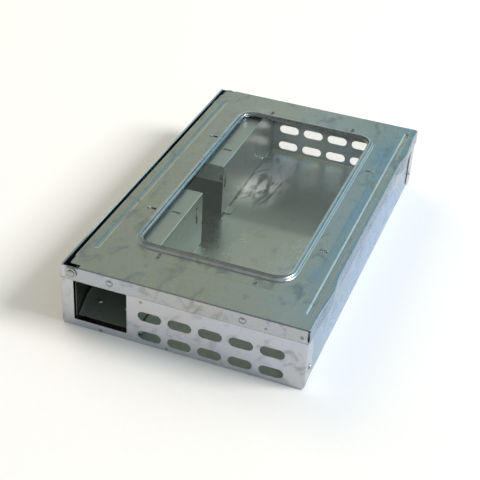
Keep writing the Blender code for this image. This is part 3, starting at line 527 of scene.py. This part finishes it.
def sheet_materials():
    """A galvanised material for each folded piece, from seed, roughness, colour and settings."""
    end_panel, tunnel = {"extra": panel_painted_shadow_and_spots}, {"marks": 0.8, "extra": tunnel_painted_side_shade}
    pieces = {
        "base_tray": (1, 0.28, TRAY_COLOUR, {"wave": 0.9, "extra": tray_painted_light_and_creases}),
        "front_panel": (2, 0.34, END_PANEL_COLOUR, {"marks": 1.6, **end_panel}),
        "rear_panel": (3, 0.32, END_PANEL_COLOUR, end_panel),
        "lid": (4, 0.26, SHEET_COLOUR, {"marks": 1.7, "extra": lid_painted_light_and_spots}),
        "front_tunnel": (5, 0.33, TUNNEL_COLOUR, {"wave": 0.4, **tunnel}),
        "rear_tunnel": (6, 0.33, TUNNEL_COLOUR, {"wave": 0.6, **tunnel}),
        "front_ramp": (7, 0.42, FRONT_RAMP_COLOUR, {"metallic": 0.85}),
        # the rear ramp's darker colour is painted shade
        "rear_ramp": (8, 0.36, REAR_RAMP_PAINTED_SHADE_COLOUR, {"metallic": 0.9}),
    }
    return {
        name: galvanised(name + "_sheet", seed, roughness, colour, **settings)
        for name, (seed, roughness, colour, settings) in pieces.items()
    }


def surfaces(nodes):
    """Gives each CAD node its material."""
    sheets = sheet_materials()
    hardware, worn = zinc("bright_zinc", BRIGHT_ZINC, 0.24), zinc("worn_zinc", WORN_ZINC, 0.38)
    bar, pane = dull_steel("dull_steel"), clear_plastic("clear_pane")
    for name, node in nodes.items():
        if name in sheets:
            dress(node, sheets[name])
        elif name.endswith("counterweight"):
            dress(node, bar)
        elif name == "window_pane":
            dress(node, pane)
            node.visible_shadow = False
        elif "hinge" in name or "corner" in name or "weight" in name:
            dress(node, worn)
        else:
            dress(node, hardware)


def floor():
    """A wide pale disc just below the tray."""
    bpy.ops.mesh.primitive_circle_add(vertices=FLOOR_SIDES, radius=FLOOR_RADIUS, fill_type="NGON")
    made = bpy.context.object
    made.name = "studio_floor"
    made.location.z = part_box("base_tray")[0].z - FLOOR_GAP
    shader = Shader("studio_floor", FLOOR_COLOUR, 0.9, 0.0)
    paper = shader.mix(shader.noise(*PAPER), FLOOR_DARK, FLOOR_LIGHT)
    shader.feed(shader.surface.inputs["Base Color"], paper)
    made.data.materials.append(shader.material)


def bearing(azimuth, elevation):
    """The direction from the object, in degrees. Azimuth 0 is in front and 90 to the right."""
    a, e = math.radians(azimuth), math.radians(elevation)
    return Vector((math.sin(a) * math.cos(e), -math.cos(a) * math.cos(e), math.sin(e)))


def area_light(name, azimuth, elevation, distance, size, power, colour):
    """A soft square light that faces the object."""
    towards = bearing(azimuth, elevation)
    data = bpy.data.lights.new(name, "AREA")
    data.shape = "SQUARE"
    data.size = size
    data.energy = power
    data.color = colour
    made = bpy.data.objects.new(name, data)
    bpy.context.scene.collection.objects.link(made)
    made.location = towards * distance
    made.rotation_mode = "QUATERNION"
    made.rotation_quaternion = towards.to_track_quat("Z", "Y")
    return made


def sky_ring(tree, share, stops):
    """The room's colour at one height, all the way round."""
    ramp = tree.nodes.new("ShaderNodeValToRGB")
    tree.links.new(share, ramp.inputs[0])
    elements = ramp.color_ramp.elements
    while len(elements) > 1:
        elements.remove(elements[0])
    for k, (degrees, colour) in enumerate(stops):
        at = (degrees + 180) / 360
        element = elements[0] if k == 0 else elements.new(at)
        element.position = at
        element.color = (*colour, 1.0)
    return ramp.outputs[0]


def sky_share(tree, source, low, high, smooth_step=True):
    """0 where the source is at low and 1 where it is at high."""
    share = tree.nodes.new("ShaderNodeMapRange")
    if smooth_step:
        share.interpolation_type = "SMOOTHSTEP"
    share.inputs["From Min"].default_value = low
    share.inputs["From Max"].default_value = high
    tree.links.new(source, share.inputs["Value"])
    return share.outputs[0]


def sky_mix(tree, share, first, second):
    mix = tree.nodes.new("ShaderNodeMix")
    mix.data_type = "RGBA"
    tree.links.new(share, mix.inputs["Factor"])
    tree.links.new(first, mix.inputs["A"])
    if isinstance(second, bpy.types.NodeSocket):
        tree.links.new(second, mix.inputs["B"])
    else:
        mix.inputs["B"].default_value = (*second, 1.0)
    return mix.outputs["Result"]


def world():
    """A soft room: bright and blue behind and to the right, olive to the left and dim above."""
    made = bpy.data.worlds.new("studio")
    bpy.context.scene.world = made
    made.use_nodes = True
    tree = made.node_tree
    back = tree.nodes["Background"]
    place = tree.nodes.new("ShaderNodeTexCoord")
    parts = tree.nodes.new("ShaderNodeSeparateXYZ")
    angle = tree.nodes.new("ShaderNodeMath")
    angle.operation = "ARCTAN2"
    tree.links.new(place.outputs["Generated"], parts.inputs[0])
    tree.links.new(parts.outputs["X"], angle.inputs[0])
    tree.links.new(parts.outputs["Y"], angle.inputs[1])
    turn = sky_share(tree, angle.outputs[0], -math.pi, math.pi, smooth_step=False)
    height = parts.outputs["Z"]
    low = sky_ring(tree, turn, SKY_LOW)
    high = sky_ring(tree, turn, SKY_HIGH)
    climbing = sky_mix(tree, sky_share(tree, height, *SKY_TURNS_HIGH), low, high)
    colour = sky_mix(tree, sky_share(tree, height, *SKY_TURNS_TOP), climbing, SKY_TOP)
    tree.links.new(colour, back.inputs["Color"])


def lights():
    """A key from the right, and a warm fill from the left rear that the sheet doesn't mirror."""
    area_light("key", **KEY)
    area_light("fill", **FILL).visible_glossy = False


def camera():
    """The camera looks at the aim from its bearing, turned a little on its axis."""
    back = bearing(CAMERA_AZIMUTH, CAMERA_ELEVATION)
    data = bpy.data.cameras.new("camera")
    data.sensor_width = CAMERA_SENSOR
    data.lens = CAMERA_LENS
    made = bpy.data.objects.new("camera", data)
    bpy.context.scene.collection.objects.link(made)
    level = (-back).to_track_quat("-Z", "Y").to_matrix().to_4x4()
    roll = Matrix.Rotation(math.radians(CAMERA_ROLL), 4, "Z")
    made.matrix_world = Matrix.Translation(CAMERA_AIM + back * CAMERA_DISTANCE) @ level @ roll
    bpy.context.scene.camera = made


def colour_management():
    bpy.context.scene.view_settings.view_transform = "Standard"


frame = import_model()
surfaces(frame["nodes"])
floor()
world()
lights()
camera()
colour_management()
